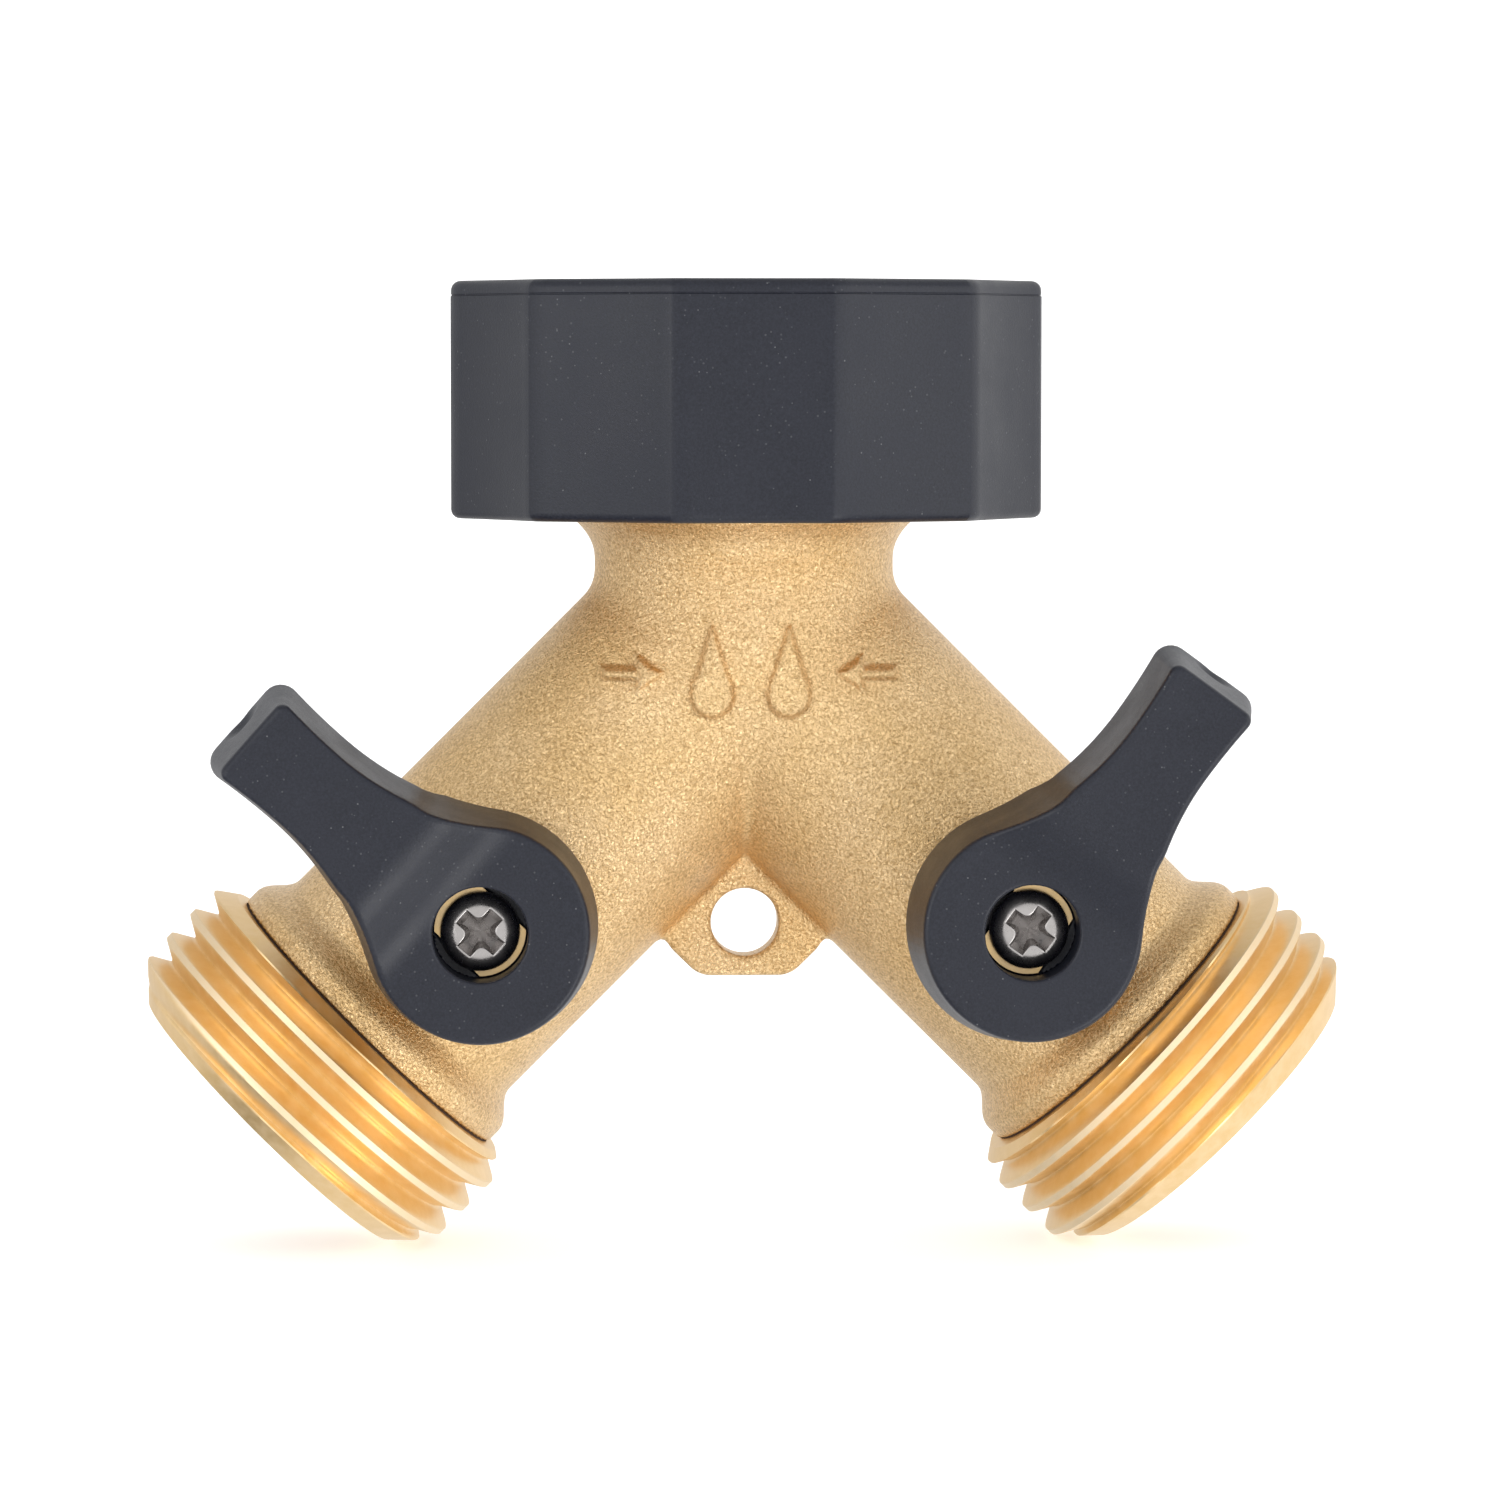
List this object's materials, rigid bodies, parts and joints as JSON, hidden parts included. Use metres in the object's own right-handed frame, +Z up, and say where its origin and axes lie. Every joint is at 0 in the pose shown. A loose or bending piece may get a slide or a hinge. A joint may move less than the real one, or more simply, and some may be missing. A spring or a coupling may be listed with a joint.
{
  "type": "hose splitter",
  "caption": "Y-shaped garden hose splitter with a free-turning threaded inlet collar and a lever ball valve on each threaded outlet leg.",
  "frame": {"origin": "on the inlet axis at the lower end of the inlet nut's thread, just above the hose washer", "axes": "+Z up out of the inlet along its axis, +X towards the right leg, and the levers face -Y"},
  "size_m": [0.0794, 0.0415, 0.0639],
  "materials": {
    "cast_brass": "matte sand-blasted casting with a fine sparkling grain",
    "machined_brass": "bright turned brass with fine lathe lines",
    "black_plastic": "satin moulded plastic with soft edges",
    "nickel_screw": "bright nickel plate",
    "spring_steel": "dark spring steel",
    "chrome_ball": "polished hard chrome plate",
    "white_ptfe": "white slippery plastic",
    "black_rubber": "moulded black rubber",
    "dark_fibre": "dark fibre gasket"
  },
  "bodies": {
    "splitter_body": {"valve_body": "cast_brass", "snap_ring": "spring_steel", "left_nipple": "machined_brass", "left_gasket": "dark_fibre", "left_inner_seat": "white_ptfe", "left_outer_seat": "white_ptfe", "left_thrust_washer": "white_ptfe", "right_nipple": "machined_brass", "right_gasket": "dark_fibre", "right_inner_seat": "white_ptfe", "right_outer_seat": "white_ptfe", "right_thrust_washer": "white_ptfe"},
    "collar": {"collar_grip": "black_plastic", "swivel_nut": "machined_brass", "inlet_washer": "black_rubber"},
    "left_valve": {"left_lever": "black_plastic", "left_lever_screw": "nickel_screw", "left_stem": "machined_brass", "left_o_rings": "black_rubber", "left_ball": "chrome_ball"},
    "right_valve": {"right_lever": "black_plastic", "right_lever_screw": "nickel_screw", "right_stem": "machined_brass", "right_o_rings": "black_rubber", "right_ball": "chrome_ball"}
  },
  "joints": [
    {"name": "collar_spin", "type": "hinge", "parent": "splitter_body", "child": "collar", "pos_m": [0, 0, 0], "axis": [0, 0, 1], "continuous": true},
    {"name": "left_lever_turn", "type": "hinge", "parent": "splitter_body", "child": "left_valve", "pos_m": [-0.01768, 0, -0.03383], "axis": [0, 1, 0], "range_deg": [0, 90]},
    {"name": "right_lever_turn", "type": "hinge", "parent": "splitter_body", "child": "right_valve", "pos_m": [0.01768, 0, -0.03383], "axis": [0, -1, 0], "range_deg": [-12.5, 77.5]}
  ]
}
